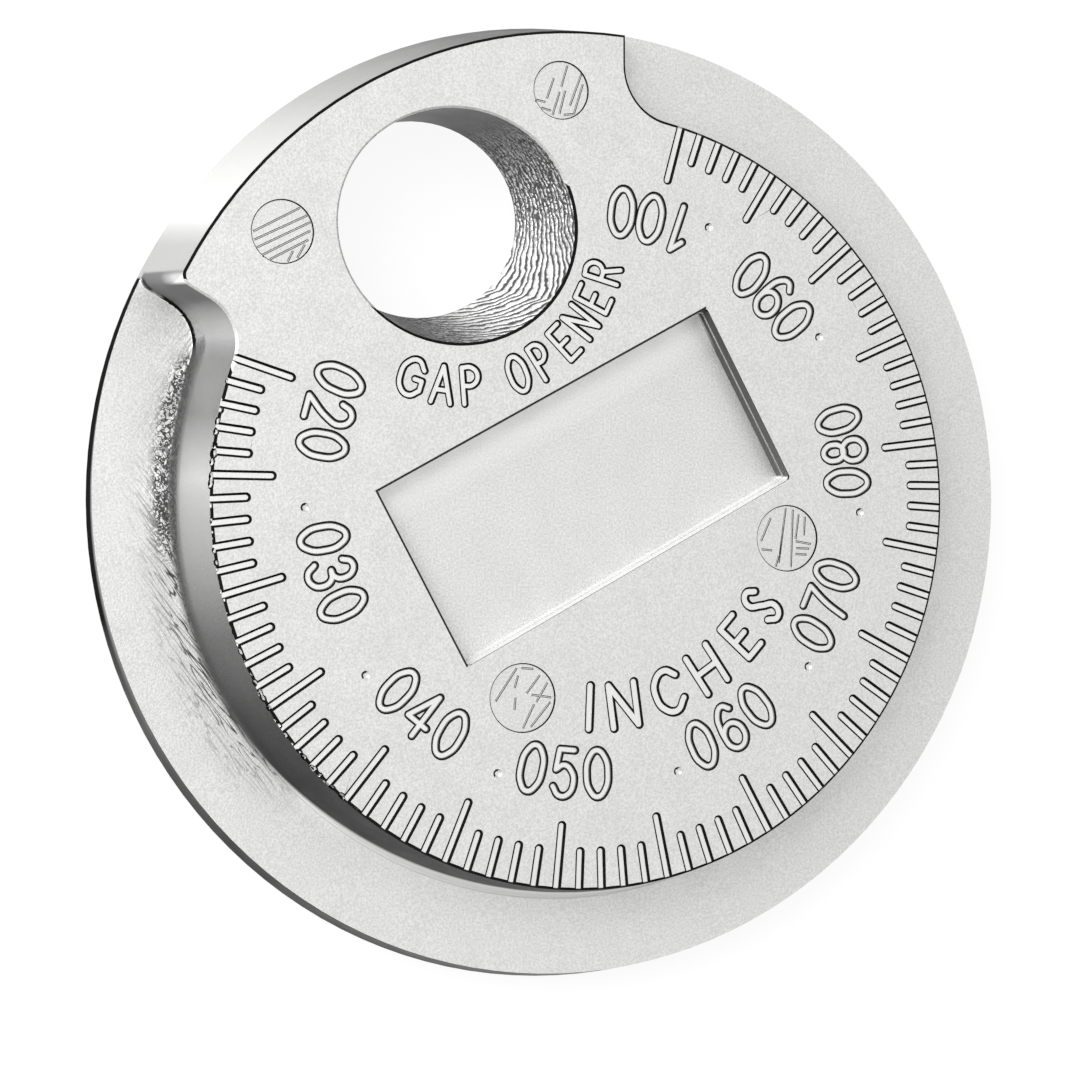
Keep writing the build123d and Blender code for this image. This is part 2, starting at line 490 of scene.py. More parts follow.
# %% Slope the prints' edges and scratch their floors
print_depth = 0.05 * mm
print_sides = 64
needle = cutter(0.038 * mm, 0.028 * mm, 0.008 * mm)
on_prints = Matrix.Translation((0, 0, face_z - print_depth))
prints = {
    (141.1, 13.85, 1.03): (
        [
            ((-0.98, -0.03), (0.6, 0.8)), ((-0.95, -0.3), (0.85, 0.56)), ((-0.86, -0.55), (0.95, 0.34)),
            ((-0.7, -0.8), (0.95, 0.06)), ((-0.42, -0.92), (0.88, -0.24)),
        ],
        [((0.36, -0.62), (0.18, -0.98)), ((0.76, -0.4), (0.5, -0.85))],
    ),
    (94.4, 13.85, 0.96): (
        [
            ((0.24, 0.85), (0.02, 0.12)), ((-0.04, -0.05), (-0.3, -0.85)), ((0.75, 0.6), (0.33, -0.5)),
            ((0.8, 0.25), (0.47, -0.78)), ((0.16, 0), (-0.05, -0.8)), ((-0.25, 0.4), (-0.5, -0.3)),
        ],
        [((-0.93, -0.35), (-0.55, -0.42)), ((-0.7, -0.62), (-0.35, -0.7)), ((0.1, -0.82), (0.45, -0.78))],
    ),
    (-10.3, 7.36, 1.12): (
        [
            ((-0.03, 1.05), (-0.3, -0.85)), ((0.24, 1.0), (0.16, -1.0)), ((0.46, 0.83), (0.34, -0.03)),
            ((0.7, 0.75), (0.66, 0.1)), ((-0.6, 0.7), (-0.97, -0.1)), ((-0.3, -0.6), (-0.42, -0.98)),
        ],
        [
            ((0.34, -0.1), (0.92, -0.2)), ((0.36, -0.34), (0.86, -0.36)), ((0.33, -0.54), (0.76, -0.57)),
            ((-0.95, -0.38), (-0.55, -0.42)),
        ],
    ),
    (-110.6, 7.13, 1.14): (
        [
            ((-0.2, 1.0), (-0.95, -0.1)), ((0.63, 0.75), (0.15, 0.15)), ((0.9, 0.5), (0.5, -0.15)),
            ((0.42, -0.22), (0.02, -1.02)), ((1.0, -0.15), (0.3, -0.98)), ((-0.15, 0.75), (-0.27, 0.33)),
        ],
        [((-0.03, 1.0), (0.4, 0.97)), ((0.33, 0.1), (1.03, 0.0)), ((-0.24, 0.02), (-0.28, -0.4))],
    ),
}
print_tools, strokes = [], [[], []]
for (angle, distance, radius), families in prints.items():
    middle = heading(angle) * distance * mm
    slope = cutter(radius * mm + 0.035 * mm, 0.052 * mm, radius * mm - 0.005 * mm)
    print_tools.append(noses([middle], slope, on_face, "print", print_sides))
    for family, lines in zip(strokes, families):
        for start, end in lines:
            family.append(([middle + Vector(start) * mm, middle + Vector(end) * mm], False))
cut(gauge, print_tools)
cut(gauge, [swept(family, needle, on_prints, "file_strokes") for family in strokes])

# %% [markdown]
# ## The chipped rim
# Next to the thinnest part of the ring the hub's edge is ragged: flash broke off between the
# marks. Small balls cut out of the edge at random leave such chips. A fixed seed keeps them
# the same each time.

# %% Chip the hub's edge
import random

chance = random.Random(7)
chip_from, chip_to, chip_count = 163, 232, 46
chips = [bmesh.new(), bmesh.new()]
for number in range(chip_count):
    angle = chip_from + (chip_to - chip_from) * (number + 0.6 * chance.random()) / chip_count
    size = chance.uniform(0.07, 0.15) * mm
    spot = heading(angle) * (hub_radius + chance.uniform(-0.02, 0.06) * mm)
    stretch = Matrix.Diagonal((1, chance.uniform(1.0, 1.7), chance.uniform(0.8, 2.0), 1))
    turn = Matrix.Rotation(math.radians(angle + chance.uniform(-25, 25)), 4, "Z")
    at_edge = Matrix.Translation((spot.x, spot.y, face_z + chance.uniform(-0.06, 0.04) * mm))
    bmesh.ops.create_icosphere(
        chips[number % 2], subdivisions=2, radius=size, matrix=at_edge @ turn @ stretch
    )
cut(gauge, [cutter_object(shape, "chips") for shape in chips])

# %% [markdown]
# ## The painted dark line beside each edge
# A thin painted dark line, painted shade, runs beside each edge and stroke. An inset of the open face
# gives that line one width everywhere, however the opening is shaped. The cuts left long thin
# triangles on the face, so it is filled again with well-shaped ones first: an inset of slivers
# turns some of them over. The pins' prints have only a hair line, so nothing is marked there.

# %% Inset the open face
line_width, level_tolerance = 0.014 * mm, 0.006 * mm
sliver, print_margin, wall_limit = weld_distance * 5, 0.1 * mm, 0.95
shape = bmesh.new()
shape.from_mesh(gauge.data)
marked = shape.faces.layers.float.new("edge_line")
bmesh.ops.remove_doubles(shape, verts=shape.verts, dist=sliver)
bmesh.ops.dissolve_degenerate(shape, edges=shape.edges, dist=sliver)


def faces_on_top():
    """The faces of the open face, slivers included."""
    return [
        face for face in shape.faces
        if all(face_z - vertex.co.z < level_tolerance for vertex in face.verts)
    ]


bmesh.ops.triangulate(shape, faces=faces_on_top())
open_set = set(faces_on_top())
inner_edges = [
    edge for edge in {edge for face in open_set for edge in face.edges}
    if all(other in open_set for other in edge.link_faces)
]
bmesh.ops.beautify_fill(shape, faces=list(open_set), edges=inner_edges)
open_face = faces_on_top()
ring = bmesh.ops.inset_region(
    shape, faces=open_face, thickness=line_width, use_boundary=True, use_even_offset=False
)
for vertex in shape.verts:
    vertex.co.z = min(vertex.co.z, face_z)
print_spots = [(heading(a) * d * mm, r * mm + print_margin) for a, d, r in prints]
level_faces = set(open_face) | set(ring["faces"])


def beside_wall(face):
    """True for a ring face that meets a slope, not only another sliver of the open face."""
    beyond = [other for edge in face.edges for other in edge.link_faces]
    return any(other not in level_faces and other.normal.z < wall_limit for other in beyond)


for face in ring["faces"]:
    middle = face.calc_center_median().xy
    clear_of_prints = all((middle - spot).length > r for spot, r in print_spots)
    # The lit half of a dot gets no painted shade line.
    beside_dot = any(
        (middle - dot).length < dot_reach and (middle - dot).dot(heading(dot_shade)) > 0
        for dot in dots
    )
    face[marked] = float(clear_of_prints and not beside_dot and beside_wall(face))
turned_over = sum(face.normal.z < 0 for face in open_face + ring["faces"])
print("ring faces:", len(ring["faces"]), "of", len(open_face), "turned over:", turned_over)
shape.to_mesh(gauge.data)
shape.free()

# %% [markdown]
# ## Shading by edge
# A casting's faces are smooth, and its edges are crisp. Faces are shaded smooth, and each edge
# that turns more than a set angle is marked sharp, so that the marks keep their outlines.

# %% Smooth faces, sharp edges
crisp_angle = math.radians(28)
gauge.data.shade_smooth()
gauge.data.set_sharp_from_angle(angle=crisp_angle)
print("faces:", len(gauge.data.polygons))

# %% [markdown]
# ## What kind of surface each face is
# Blasting reaches the open face and leaves it pale. The walls of the marks and the small bevels get
# a painted dark line, painted shade, while tumbling stones rub the bottoms of the marks bright.
# The tall walls keep the skin of the die. Each face of the mesh gets a number for each of these,
# and the finish reads them. An image could be painted, but numbers worked out from each face's own
# slope and height follow the shape exactly.

# %% Sort the faces by slope and height
flat_limit, upright_limit, steep = 0.97, 0.8, 0.5
mark_zone, print_floor = 0.1 * mm, 0.055 * mm
pocket_centre, pocket_reach, pocket_floor = Vector((-0.1 * mm, 0.5 * mm)), 7.7 * mm, 0.82 * mm
ledge_share = 0.8
hole_reach = 4.7 * mm
hole_edge, hole_shade, hole_shade_reach = 4.4 * mm, -58, 0.19
dot_rim, dot_lit = 0.004 * mm, 0.1
plain, dark = (0.0, 0.0, 0.0), (1.0, 0.0, 0.0)


def on_lit_dot(polygon, spot, depth):
    """True on the half of a dot that the light reaches."""
    lit = polygon.normal.xy.dot(heading(dot_shade)) < dot_lit
    return lit and depth > dot_rim and any((spot - dot).length < dot_reach for dot in dots)


# %% The notch's wall and the chips
notch_from, notch_to, notch_inner, notch_outer = 153.3, 161.6, 12.95 * mm, 15.6 * mm
root_depth, root_to, root_slope = 2.4 * mm, 165, 0.3
chip_zone, chip_slope, chip_open = 0.3 * mm, 0.93, 0.6
edge_inner, edge_outer = 13.02 * mm, hub_radius + 0.07 * mm


def on_notch_edge(spot, angle, depth):
    """True on the upper edge of the notch's wall, which gets no painted shade line."""
    return depth < mark_zone and notch_from < angle < notch_to and spot.length > notch_inner


def in_notch_root(spot, angle, depth, rise):
    """True in the small curve between the notch's wall and the ring, which gets painted shade."""
    low = depth > root_depth and root_slope < rise < flat_limit
    return low and notch_from < angle < root_to and notch_inner < spot.length < notch_outer


def on_chip(polygon, spot, angle):
    """True on the faces of a chip in the hub's edge."""
    deepest = face_z - min(gauge.data.vertices[v].co.z for v in polygon.vertices)
    at_edge = edge_inner < spot.length < edge_outer
    return at_edge and deepest < chip_zone and chip_from < angle < chip_to


# %% The three numbers of each face
def kind_of(polygon):
    """(painted shade line, rubbed floor, die skin) of one face, each from 0 to 1."""
    x, y, z = polygon.center
    spot, depth = Vector((x, y)), face_z - z
    angle = math.degrees(math.atan2(y, x)) % 360
    rise = abs(polygon.normal.z)
    slope = min(max((flat_limit - rise) / (flat_limit - upright_limit), 0), 1)
    beside_edge = edge_faces[polygon.index].value > 0.5
    from_hole = spot - hole_centre
    in_hole = from_hole.length < hole_reach and rise < steep
    # The hole's bevel gets painted shade on the side away from the lamp.
    if depth < mark_zone and rise > steep and from_hole.length < hole_edge:
        shaded = from_hole.normalized().dot(heading(hole_shade)) > hole_shade_reach
        return dark if shaded and (slope > 0.5 or beside_edge) else plain
    if on_notch_edge(spot, angle, depth):
        return plain
    # A marked edge line and the notch's root get painted shade.
    if beside_edge or in_notch_root(spot, angle, depth, rise):
        return dark
    # Mark walls get the painted shade line by their slope, and the lit half of a dot gets none.
    if depth < mark_zone and not in_hole:
        if on_lit_dot(polygon, spot, depth):
            return plain
        return slope, float(rise > flat_limit and depth > print_floor), 0.0
    # The pocket's ledges get a share of the painted shade line.
    if (spot - pocket_centre).length < pocket_reach and depth < pocket_floor and not in_hole:
        return slope * ledge_share if rise > steep else 0.0, 0.0, slope
    # The walls of a chip get painted shade, except those open to the outside.
    if on_chip(polygon, spot, angle):
        open_side = polygon.normal.xy.dot(spot.normalized()) > chip_open
        return dark if rise < chip_slope and not open_side else plain
    return 0.0, 0.0, slope


edge_faces = gauge.data.attributes["edge_line"].data
kinds = ("painted_edge_shade", "rubbed", "die_skin")
stored = [gauge.data.attributes.new(kind, "FLOAT", "FACE").data for kind in kinds]
counts = [0, 0, 0]
for polygon in gauge.data.polygons:
    for number, value in enumerate(kind_of(polygon)):
        stored[number][polygon.index].value = value
        counts[number] += value > 0.5
print("faces of each kind:", dict(zip(kinds, counts)))

# %% [markdown]
# ## The zinc
# Die-cast zinc that has been tumbled or blasted is a pale grey metal with a soft sheen. Its
# grain is under a tenth of a millimetre across: it tints the metal slightly, and it is a bump
# that spreads the light. Both come from noise on Object coordinates, so they don't slide.

# %% Helpers for a node material
def new_material(name):
    """A material with an empty node tree, its shader and its output."""
    material = bpy.data.materials.new(name)
    material.use_nodes = True
    tree = material.node_tree
    tree.nodes.clear()
    output = tree.nodes.new("ShaderNodeOutputMaterial")
    shader = tree.nodes.new("ShaderNodeBsdfPrincipled")
    tree.links.new(shader.outputs[0], output.inputs[0])
    return material, tree, shader


def add(tree, kind, inputs=(), **settings):
    """A node with its settings, and values or links for its first inputs."""
    node = tree.nodes.new("ShaderNode" + kind)
    for name, value in settings.items():
        setattr(node, name, value)
    for number, value in enumerate(inputs):
        if isinstance(value, bpy.types.NodeSocket):
            tree.links.new(value, node.inputs[number])
        elif value is not None:
            node.inputs[number].default_value = value
    return node


def noise(tree, coordinates, size, detail=2.0, distortion=0.0):
    """Noise whose lumps are about this size."""
    node = add(tree, "TexNoise", [coordinates])
    node.inputs["Scale"].default_value = 1 / size
    node.inputs["Detail"].default_value = detail
    node.inputs["Distortion"].default_value = distortion
    return node.outputs["Fac"]


# %% Sums, fades and mixes of values
def ramped(tree, value, lows, highs=(0, 1)):
    """Maps a value from one range to another and keeps it inside."""
    return add(tree, "MapRange", [value, *lows, *highs]).outputs["Result"]


def maths(tree, operation, first, second=0.0):
    """One sum on two values."""
    return add(tree, "Math", [first, second], operation=operation).outputs[0]


def vectors(tree, operation, *values, result="Vector"):
    """One sum on vectors."""
    return add(tree, "VectorMath", values, operation=operation).outputs[result]


def product(tree, *values):
    """All the values multiplied."""
    result = values[0]
    for value in values[1:]:
        result = maths(tree, "MULTIPLY", result, value)
    return result


def window(tree, value, opens, closes):
    """1 where a value lies between two fades, and 0 outside them."""
    opened = ramped(tree, value, opens)
    return product(tree, opened, ramped(tree, value, closes, (1, 0)))


def blended(tree, factor, first, second):
    """Mix of two colours."""
    node = tree.nodes.new("ShaderNodeMix")
    node.data_type = "RGBA"
    for number, value in ((0, factor), (6, first), (7, second)):
        if isinstance(value, bpy.types.NodeSocket):
            tree.links.new(value, node.inputs[number])
        else:
            node.inputs[number].default_value = value
    return node.outputs[2]


def bumped(tree, height, depth, normal=None):
    """A bump of this depth in metres, on top of another bump."""
    node = add(tree, "Bump")
    node.inputs["Distance"].default_value = depth
    tree.links.new(height, node.inputs["Height"])
    if normal is not None:
        tree.links.new(normal, node.inputs["Normal"])
    return node.outputs[0]


def grey(level):
    """A neutral colour."""
    return (level, level, level * 0.995, 1)


# %% Where a point of the casting lies: its radius, its side and its height
zinc, tree, shader = new_material("cast_zinc")
coordinates = add(tree, "TexCoord").outputs
place, turned_to = coordinates["Object"], coordinates["Normal"]
x_place, y_place, z_place = add(tree, "SeparateXYZ", [place]).outputs
flat_place = vectors(tree, "MULTIPLY", place, (1, 1, 0))
radius = vectors(tree, "LENGTH", flat_place, result="Value")
outward = vectors(tree, "NORMALIZE", flat_place)


def towards(tree, vector, angle):
    """How far a direction points to an angle in plan, from -1 to 1."""
    return vectors(tree, "DOT_PRODUCT", vector, (*heading(angle), 0), result="Value")


def sided(tree, vector, angle, lows, highs=(0, 1)):
    """A fade by how far a direction points to an angle in plan."""
    return ramped(tree, towards(tree, vector, angle), lows, highs)


painted_edge_shade, rubbed, die_skin = [
    add(tree, "Attribute", attribute_name=kind).outputs["Fac"] for kind in kinds
]
print("numbers read from the mesh:", kinds)

# %% [markdown]
# The walls get painted light and shade by the way they face: bright where they face the lamp's side,
# dull and dark across it, and a plain grey far behind it. Which way a wall faces decides it, so a
# colour ramp reads that direction.

# %% Painted light and shade of the walls, by the way they face
lamp_side, far_side = 152, 0
# Walls facing the lamp's side are painted bright, and walls across it are painted dark.
facing = towards(tree, turned_to, lamp_side)
painted_shade_stops = [
    (-0.6, 0.09), (0.1, 0.03), (0.3, 0.016), (0.47, 0.045), (0.56, 0.085), (0.66, 0.13),
    (0.79, 0.3), (0.87, 0.42), (0.97, 0.68),
]
tones = add(tree, "ValToRGB", [ramped(tree, facing, (-1, 1))])
stops = tones.color_ramp.elements
stops.remove(stops[1])
for way, tone in painted_shade_stops:
    stops.new((way + 1) / 2).color = grey(tone)
skin_with_painted_light = tones.outputs[0]
print("tones of the die's skin:", len(painted_shade_stops))

# %% [markdown]
# The notch's wall gets painted light and shade of its own: a painted highlight at the top of its
# outer corner, a fainter painted highlight in the turn into the hub's wall, and painted shade on
# the hub's wall in the notch and at the end of the sector's wall. A direction alone can't
# tell them from the hub's wall, so a radius and a height go with it.

# %% Painted light and shade at the notch and the end of the sector
hub_wall = product(tree, ramped(tree, radius, (15.2 * mm, 15.4 * mm), (1, 0)), die_skin)
notch_angle, notch_base_tone = 160, 0.15
# Painted shade on the hub's wall inside the notch.
notch_painted_shade = sided(tree, outward, notch_angle, (0.955, 0.99), (0, 0.72))
skin_with_painted_light = blended(tree, product(tree, hub_wall, notch_painted_shade), skin_with_painted_light, grey(0.02))
notch_side = sided(tree, outward, 149, (0.98, 0.99))
notch_wall = sided(tree, turned_to, 225, (0.3, 0.5))
corner_starts = (14.6 * mm, 15.2 * mm)
# A painted highlight at the top of the notch's outer corner, and a fainter one in the turn into the hub's
# wall.
lit_corner = product(
    tree,
    sided(tree, turned_to, 195, (0.8, 0.97)),
    ramped(tree, z_place, (1.9 * mm, 3.0 * mm)),
    ramped(tree, radius, corner_starts, (0, 0.8)),
)
inner_turn_highlight = product(
    tree,
    sided(tree, turned_to, 197, (0.74, 1), (0, 0.27)),
    ramped(tree, radius, corner_starts, (1, 0)),
)
notch_painted_light = maths(tree, "ADD", maths(tree, "ADD", lit_corner, inner_turn_highlight), notch_base_tone)
skin_with_painted_light = blended(tree, product(tree, notch_side, notch_wall), skin_with_painted_light, notch_painted_light)
# Painted shade at the end of the sector's outer wall, next to the notch.
sector_end_shade = sided(tree, outward, 151, (0.9955, 0.9995), (0, 0.5))
on_outer_wall = ramped(tree, radius, (15.8 * mm, 15.85 * mm))
skin_with_painted_light = blended(tree, product(tree, sector_end_shade, on_outer_wall), skin_with_painted_light, grey(0.2))
# Walls that face far from the lamp get a plain painted grey.
far_wall = sided(tree, turned_to, far_side, (0.5, 0.85))
skin_with_painted_light = blended(tree, far_wall, skin_with_painted_light, grey(0.5))

# %% The blasted face, with its grain
grain_size, lump_size = 0.075 * mm, 1.3 * mm
grain = noise(tree, place, grain_size, 1.5)
lumps = noise(tree, place, lump_size, 3.0)
face_colour = blended(tree, ramped(tree, grain, (0.3, 0.7)), grey(0.77), grey(0.62))
colour = blended(tree, rubbed, face_colour, grey(0.8))
colour = blended(tree, die_skin, colour, skin_with_painted_light)
print("grain in mm:", round(grain_size / mm, 3))

# %% [markdown]
# The walls of the marks and figures get a painted dark line, painted shade. On the right and at
# the bottom the hub's edge gets painted shade too, straight across the ends of the marks.

# %% The painted shade lines
colour = blended(tree, painted_edge_shade, colour, grey(0.008))
rim_side = sided(tree, outward, -30, (-0.35, -0.2))
edge_opens = (hub_radius - 0.06 * mm, hub_radius - 0.03 * mm)
edge_closes = (hub_radius + 0.06 * mm, hub_radius + 0.08 * mm)
# Painted shade along the hub's edge on the right and at the bottom.
edge_crossing_shade = product(
    tree, rim_side, window(tree, radius, edge_opens, edge_closes),
    ramped(tree, z_place, (face_z - 0.12 * mm, face_z - mark_zone)),
)
colour = blended(tree, edge_crossing_shade, colour, grey(0.01))

# %% [markdown]
# Under the thinnest part of the ring, the rim's foot gets painted shade next to the table: it
# is nearly black. The height over the table decides where that ends, and the notch's corner is
# where it starts.

# %% The painted shade at the foot of the rim
foot_middle, past_notch = 168, 243.5
foot_shade = product(
    tree, die_skin,
    ramped(tree, z_place, (0.5 * mm, 0.72 * mm), (1, 0)),
    ramped(tree, radius, (15.95 * mm, 16.05 * mm)),
    sided(tree, outward, foot_middle, (0.75, 0.9), (0.3, 1)),
    sided(tree, outward, past_notch, (-0.004, 0.002)),
)
colour = blended(tree, foot_shade, colour, grey(0.01))

# %% [markdown]
# Opposite the sector the lower part of the hub's wall is painted as pale as the lit ring, painted light.
# The wall's painted shade is left as a band under the edge, which narrows steadily along the wall.

# %% The painted light at the foot of the hub's wall
plan_angle = maths(tree, "ARCTAN2", y_place, x_place)
wide_at, thin_at = math.radians(-144), math.radians(-84)
wide_band, thin_band = 0.55 * mm, 0.07 * mm
dark_band = ramped(tree, plan_angle, (wide_at, thin_at), (wide_band, thin_band))
below_band = maths(tree, "SUBTRACT", radius, dark_band)
wall_foot_painted_light = product(
    tree, hub_wall,
    ramped(tree, below_band, (hub_radius, hub_radius + 0.06 * mm)),
    ramped(tree, y_place, (-7.2 * mm, -8.4 * mm)),
    ramped(tree, x_place, (4 * mm, 11 * mm), (1, 0)),
)
colour = blended(tree, wall_foot_painted_light, colour, grey(0.8))
print("dark band in mm:", round(wide_band / mm, 2), "to", round(thin_band / mm, 2))

# %% [markdown]
# The pocket's mouth is a crisp edge, and next to it a hair of painted shade runs along the two
# far sides. Its walls get painted light and shade: bright where they face the lamp's side, dark across
# it. The floor gets painted light under the upper wall, against that wall's shadow. How far a point
# lies past each side of the rectangle tells the mouth, the walls and the floor apart.

# %% How far a point lies past each side of the pocket
from_pocket = vectors(tree, "SUBTRACT", flat_place, (*pocket_centre, 0))
pocket_half_x, pocket_half_y, pocket_turn = 6.7 * mm, 3.3 * mm, 28.3
past_right, past_top, past_left, past_bottom = [
    maths(tree, "SUBTRACT", towards(tree, from_pocket, pocket_turn + quarter * 90), half)
    for quarter, half in enumerate((pocket_half_x, pocket_half_y) * 2)
]
far_sides = maths(tree, "MAXIMUM", past_left, past_top)
near_sides = maths(tree, "MAXIMUM", past_right, past_bottom)
near_mouth = maths(tree, "MAXIMUM", far_sides, near_sides)

# %% The pocket's painted shade line, and painted light on its floor and walls
mouth_width, hair = 0.06 * mm, 0.01 * mm
# A hair of painted shade along the two far sides of the mouth.
mouth_shade_line = product(
    tree, window(tree, far_sides, (-hair, 0), (mouth_width, mouth_width * 1.3)),
    ramped(tree, near_sides, (0, hair), (1, 0)),
    ramped(tree, z_place, (face_z - 2 * hair, face_z - hair)),
)
colour = blended(tree, mouth_shade_line, colour, grey(0.02))
inside = ramped(tree, near_mouth, (hair, 2 * hair), (1, 0))
floor_opens = (face_z - 1.2 * mm, face_z - mm)
floor_closes = (face_z - 0.7 * mm, face_z - 0.6 * mm)
on_floor = product(tree, inside, window(tree, z_place, floor_opens, floor_closes))
# Painted light on the floor under the upper wall, against its shadow.
floor_painted_light = ramped(tree, past_top, (-1.5 * mm, -0.1 * mm), (0, 0.7))
colour = blended(tree, product(tree, on_floor, floor_painted_light), colour, grey(0.97))
in_pocket = product(tree, inside, die_skin)
# Painted light on the walls that face the lamp's side.
lamp_side_wall = sided(tree, turned_to, pocket_turn + 90, (0.4, 0.8))
colour = blended(tree, product(tree, in_pocket, lamp_side_wall), colour, grey(0.76))
print("line at the pocket's mouth in mm:", round(mouth_width / mm, 2))

# %% [markdown]
# Beside the hub's wall, on the left, the die is crazed by heat: its fine cracks leave a band of
# wrinkles on the ring, strongest at the foot of the wall. Noise that is warped by itself looks
# like such skin, and the lines where it crosses its middle value are the cracks. Lower down they
# run together into slanting streaks, which is a finer noise drawn out in one direction.

# %% Lines and streaks out of noise
crack_width, streak_width = 0.085, 0.055
crack_size, streak_size, streak_stretch = 0.18 * mm, 0.12 * mm, 9


def crack_lines(tree, pattern, width):
    """Thin lines where a noise crosses its middle value."""
    from_middle = maths(tree, "ABSOLUTE", maths(tree, "SUBTRACT", pattern, 0.5))
    return ramped(tree, from_middle, (width * 0.3, width), (1, 0))


def drawn_out(tree, angle):
    """Noise drawn out into streaks that run at this angle in plan."""
    turned_place = add(tree, "Mapping", [place], vector_type="TEXTURE")
    turned_place.inputs["Rotation"].default_value = (0, 0, math.radians(angle))
    turned_place.inputs["Scale"].default_value = (streak_stretch, 1, 1)
    return noise(tree, turned_place.outputs[0], streak_size, 0.6)


# %% Where the wrinkles and the streaks lie
ring_top = window(tree, z_place, (0.2 * mm, 0.3 * mm), (1.25 * mm, 1.45 * mm))
near_wall = ramped(tree, radius, (13.75 * mm, 15.7 * mm), (1, 0))
quick_fade = product(tree, near_wall, near_wall)
outer_part = ramped(tree, radius, (13.7 * mm, 13.8 * mm))
band = product(tree, ring_top, quick_fade, outer_part)
crazed_at, streaked_at, upper_at = 174, 196, 162
crazed_side = sided(tree, outward, crazed_at, (0.962, 0.992))
streaked_side = sided(tree, outward, streaked_at, (0.86, 0.955))
upper_side = sided(tree, outward, upper_at, (0.96, 0.985))
print("wrinkles at", crazed_at, "degrees, streaks at", streaked_at, "and", upper_at)

# %% Wrinkles and streaks beside the wall
wrinkles = noise(tree, place, crack_size, 2.5, 0.8)
streaks, upper_streaks = drawn_out(tree, -53), drawn_out(tree, 55)
wrinkled = ramped(tree, radius, (14.2 * mm, 15 * mm), (0.9, 0))
drawn_streaks = maths(
    tree, "ADD",
    product(tree, streaks, band, streaked_side),
    product(tree, upper_streaks, band, upper_side, 0.7),
)
crazing = maths(
    tree, "ADD", product(tree, wrinkles, band, crazed_side, wrinkled), drawn_streaks
)
close_to_wall = ramped(tree, radius, (13.95 * mm, 14.75 * mm), (1, 0))
cracks = product(tree, crack_lines(tree, wrinkles, crack_width), crazed_side, close_to_wall, 4.0)
streak_lines = maths(
    tree, "MAXIMUM",
    product(tree, crack_lines(tree, streaks, streak_width), streaked_side, 1.5),
    product(tree, crack_lines(tree, upper_streaks, streak_width), upper_side, 0.5),
)
crazed = product(tree, band, maths(tree, "MAXIMUM", crazed_side, streaked_side))
colour = blended(tree, product(tree, crazed, 0.5), colour, grey(0.48))
creases = product(tree, maths(tree, "MAXIMUM", cracks, streak_lines), band)
colour = blended(tree, ramped(tree, creases, (0, 1), (0, 0.92)), colour, grey(0.02))

# %% The painted shade line at the foot of the hub's wall
root_middle = 186
# Painted shade where the hub's wall meets the ring.
root_shade_line = product(
    tree, ring_top, window(tree, radius, (13.62 * mm, 13.74 * mm), (13.84 * mm, 13.98 * mm)),
    sided(tree, outward, root_middle, (0.75, 0.9), (0, 0.8)),
)
colour = blended(tree, root_shade_line, colour, grey(0.08))
print("nodes so far:", len(tree.nodes))

# %% [markdown]
# The hole's wall shows the ripples of the core pin, which ran round it like tree rings. They are
# strong on the side towards the dial and fade at the far side. A wave along the height, bent by
# its own noise, gives them. At the two ends of the rippled side the wall is crackled instead.

# %% The sides of the hole
from_hole = vectors(tree, "SUBTRACT", flat_place, (*hole_centre, 0))
hole_radius = vectors(tree, "LENGTH", from_hole, result="Value")
hole_side = vectors(tree, "NORMALIZE", from_hole)
in_hole = product(tree, ramped(tree, hole_radius, (4.5 * mm, 4.6 * mm), (1, 0)), die_skin)
rippled_side = sided(tree, hole_side, -25, (-0.1, 0.5))
rippled = product(tree, in_hole, rippled_side)
crackled_sides = maths(
    tree, "MAXIMUM",
    sided(tree, hole_side, 32, (0.7, 0.95)),
    sided(tree, hole_side, -112, (0.72, 0.93)),
)
crackled = product(tree, in_hole, crackled_sides)

# %% The wave that ripples the hole's wall
ripple_length, ripple_bend, waves_per_scale = 0.24 * mm, 6.5, 20 / math.tau
climb = sided(tree, hole_side, -120, (0.1, 1), (0, 1.9 * mm))
widened = sided(tree, hole_side, -60, (0.5, 0.9), (1, 0.62))
ring_height = maths(tree, "ADD", product(tree, z_place, widened), climb)
ripple_place = add(tree, "CombineXYZ", [x_place, y_place, ring_height]).outputs[0]
ripple = add(tree, "TexWave", [ripple_place], bands_direction="Z")
ripple.inputs["Scale"].default_value = 1 / waves_per_scale / ripple_length
ripple.inputs["Distortion"].default_value = ripple_bend
ripple.inputs["Detail"].default_value = 3.0
ripple.inputs["Detail Scale"].default_value = 1.3
ripples = product(tree, ripple.outputs["Fac"], rippled)
print("ripple length in mm:", round(ripple_length / mm, 2))

# %% The hole's painted light and shade, and its dark lines
# The side of the hole's wall that faces the lamp is painted bright, and the far side is painted dark.
hole_light_and_shade = sided(tree, hole_side, -20, (0.05, 0.85), (0.12, 1.0))
colour = blended(tree, product(tree, in_hole, 0.85), colour, hole_light_and_shade)
crackle = noise(tree, place, 0.13 * mm, 2.0, 0.8)
ripple_line = product(tree, ramped(tree, ripple.outputs["Fac"], (0.15, 0.5), (1, 0)), rippled)
crackle_line = product(tree, ramped(tree, crackle, (0.45, 0.54), (1, 0)), crackled)
dark_line = maths(tree, "MAXIMUM", ripple_line, crackle_line)
colour = blended(tree, product(tree, dark_line, 0.92), colour, grey(0.015))

# %% Join colour, gloss and bumps in the shader
tree.links.new(colour, shader.inputs["Base Color"])
tree.links.new(ramped(tree, lumps, (0.3, 0.7), (0.46, 0.58)), shader.inputs["Roughness"])
